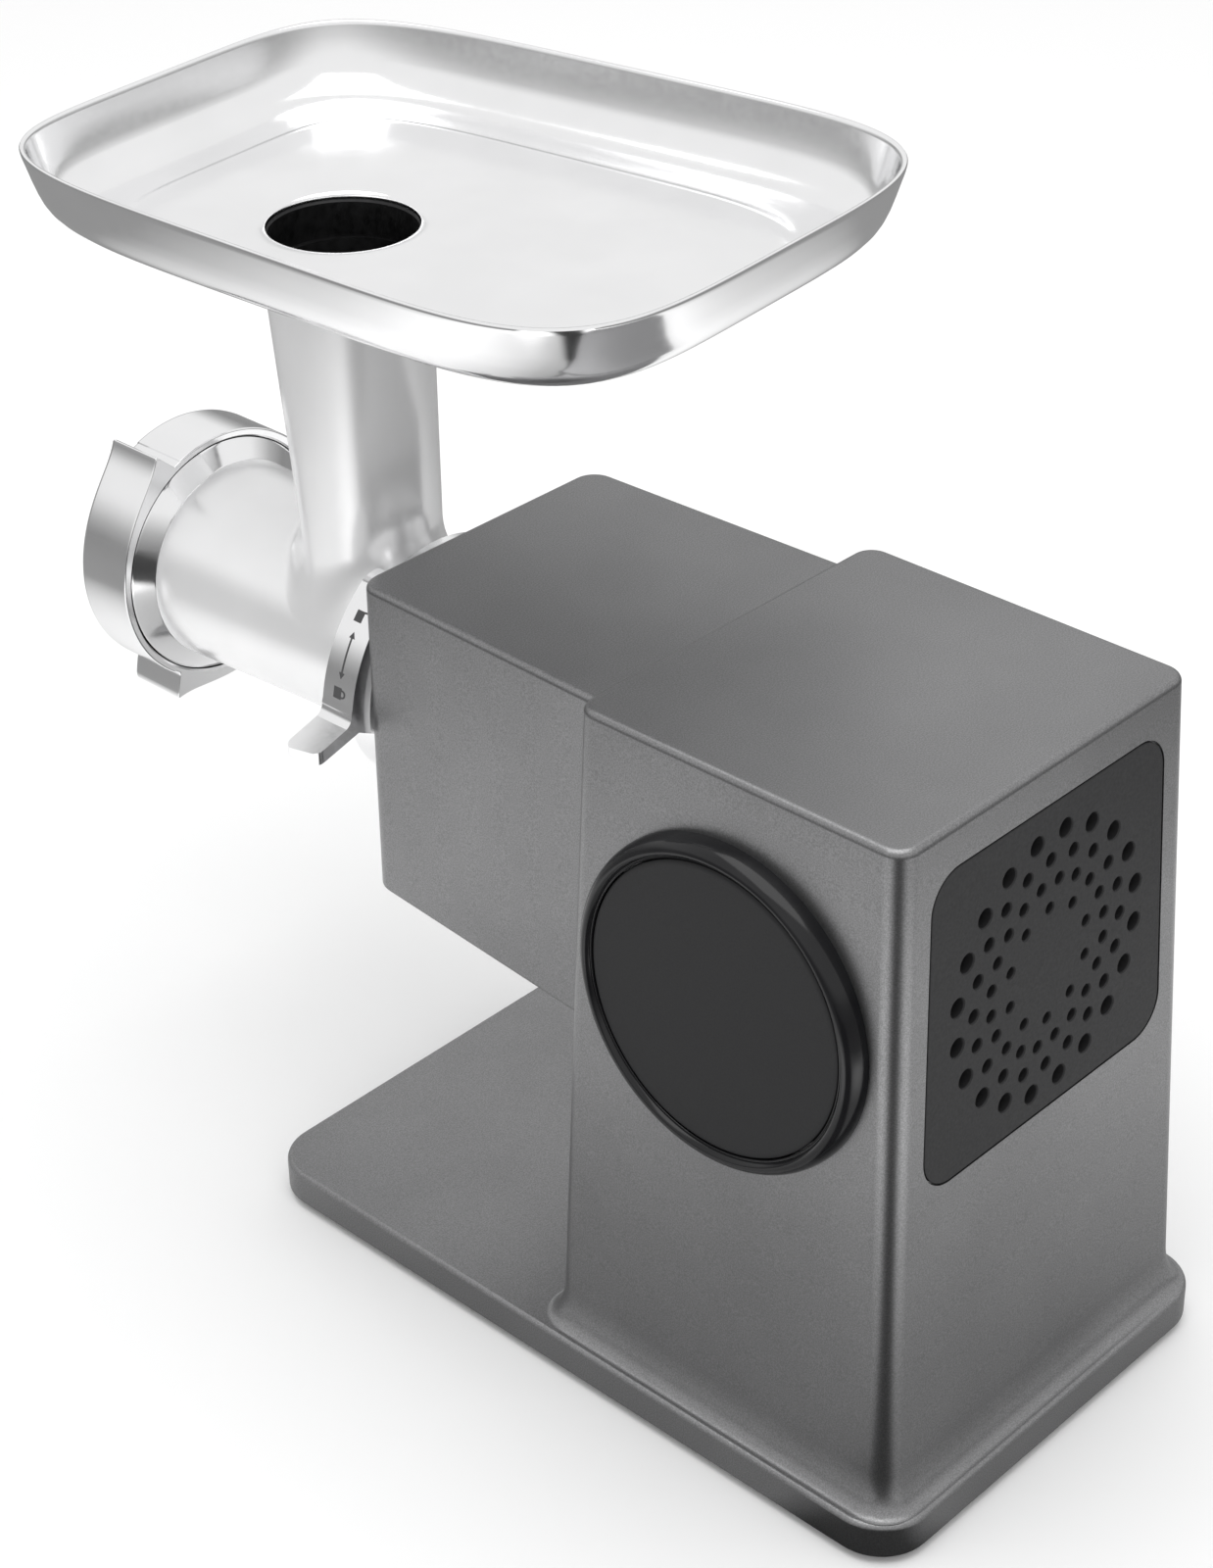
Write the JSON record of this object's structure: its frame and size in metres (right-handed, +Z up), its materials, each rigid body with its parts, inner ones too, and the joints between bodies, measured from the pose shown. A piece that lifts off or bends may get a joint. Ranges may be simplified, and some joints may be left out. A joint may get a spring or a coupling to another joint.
{
  "type": "electric meat grinder",
  "caption": "Electric meat grinder: flared tower and gear housing on a long base slab, conical barrel with feed tube, lobed screw ring, locking ring and wide feed tray.",
  "frame": {"origin": "under the middle of the base slab, on the surface that the feet stand on", "axes": "+Z up, -Y towards the meat outlet, +X to the side with the plain round cover"},
  "size_m": [0.2263, 0.4367, 0.3814],
  "materials": {
    "metallic_paint": "satin metallic titanium-grey paint",
    "matte_black": "fine-grained matte moulding",
    "gloss_black": "high gloss",
    "rubber": "matte",
    "polished_aluminium": "polished",
    "satin_metal": "satin turned",
    "white_mark": "printed mark",
    "cast_aluminium": "as cast",
    "nylon": "moulded",
    "copper": "enamelled wire and contacts",
    "steel": "machined"
  },
  "bodies": {
    "base": {"body_shell": "metallic_paint", "gear_housing": "metallic_paint", "bottom_plate": "matte_black", "feet": "rubber", "bottom_screws": "steel", "vent_panel": "matte_black", "side_bezel": "gloss_black", "side_cover": "matte_black", "control_bezel": "gloss_black", "control_panel": "matte_black", "selector_switch": "matte_black", "inlet_gland": "rubber", "motor_stator": "steel", "field_coils": "copper", "front_bracket": "cast_aluminium", "rear_bracket": "cast_aluminium", "brush_holders": "copper", "motor_bolts": "steel", "front_gear_plate": "steel", "rear_gear_plate": "steel", "gear_plate_screws": "steel", "gearbox_spacers": "steel", "shaft_bearings": "steel", "mounting_collar": "polished_aluminium", "collar_screws": "steel"},
    "motor_rotor": {"rotor_shaft": "steel", "armature": "steel", "commutator": "copper", "cooling_fan": "matte_black", "motor_pinion": "steel"},
    "countershaft": {"counter_shaft": "steel", "first_gear": "nylon", "second_pinion": "steel"},
    "output": {"output_gear": "nylon", "output_shaft": "steel"},
    "lock": {"locking_ring": "polished_aluminium"},
    "head": {"head_casting": "polished_aluminium"},
    "auger": {"auger": "polished_aluminium", "auger_washer": "nylon", "cross_knife": "steel"},
    "plate": {"hole_plate": "steel"},
    "ring": {"screw_ring": "polished_aluminium"},
    "tray": {"feed_tray": "polished_aluminium"},
    "knob": {"selector_knob": "satin_metal", "knob_mark": "white_mark"}
  },
  "joints": [
    {"name": "output_turn", "type": "hinge", "parent": "base", "child": "output", "pos_m": [0, -0.04, 0.198], "axis": [0, -1, 0], "continuous": true},
    {"name": "counter_turn", "type": "hinge", "parent": "base", "child": "countershaft", "pos_m": [-0.032, -0.02, 0.16112], "axis": [0, -1, 0], "continuous": true},
    {"name": "motor_turn", "type": "hinge", "parent": "base", "child": "motor_rotor", "pos_m": [0, 0.06, 0.18249], "axis": [0, -1, 0], "continuous": true},
    {"name": "head_pull", "type": "slide", "parent": "base", "child": "head", "axis": [0, -1, 0], "range_m": [0, 0.06]},
    {"name": "auger_turn", "type": "hinge", "parent": "head", "child": "auger", "pos_m": [0, -0.18, 0.198], "axis": [0, -1, 0], "continuous": true},
    {"name": "lock_turn", "type": "hinge", "parent": "base", "child": "lock", "pos_m": [0, -0.132, 0.198], "axis": [0, -1, 0], "range_deg": [0, 38]},
    {"name": "plate_slide", "type": "slide", "parent": "head", "child": "plate", "axis": [0, -1, 0], "range_m": [0, 0.01]},
    {"name": "ring_turn", "type": "hinge", "parent": "plate", "child": "ring", "pos_m": [0, -0.268, 0.198], "axis": [0, -1, 0], "range_deg": [0, 900]},
    {"name": "tray_lift", "type": "slide", "parent": "head", "child": "tray", "axis": [0, 0, 1], "range_m": [0, 0.04]},
    {"name": "knob_turn", "type": "hinge", "parent": "base", "child": "knob", "pos_m": [-0.07575, 0.0652, 0.182], "axis": [-0.9994, 0, 0.034], "range_deg": [-45, 45]}
  ],
  "couplings": [
    {"joint": "counter_turn", "follows": "output_turn", "ratio": -5.5},
    {"joint": "motor_turn", "follows": "output_turn", "ratio": 38.5},
    {"joint": "auger_turn", "follows": "output_turn", "ratio": 1},
    {"joint": "plate_slide", "follows": "ring_turn", "m_per_rad": 0.00063662}
  ]
}
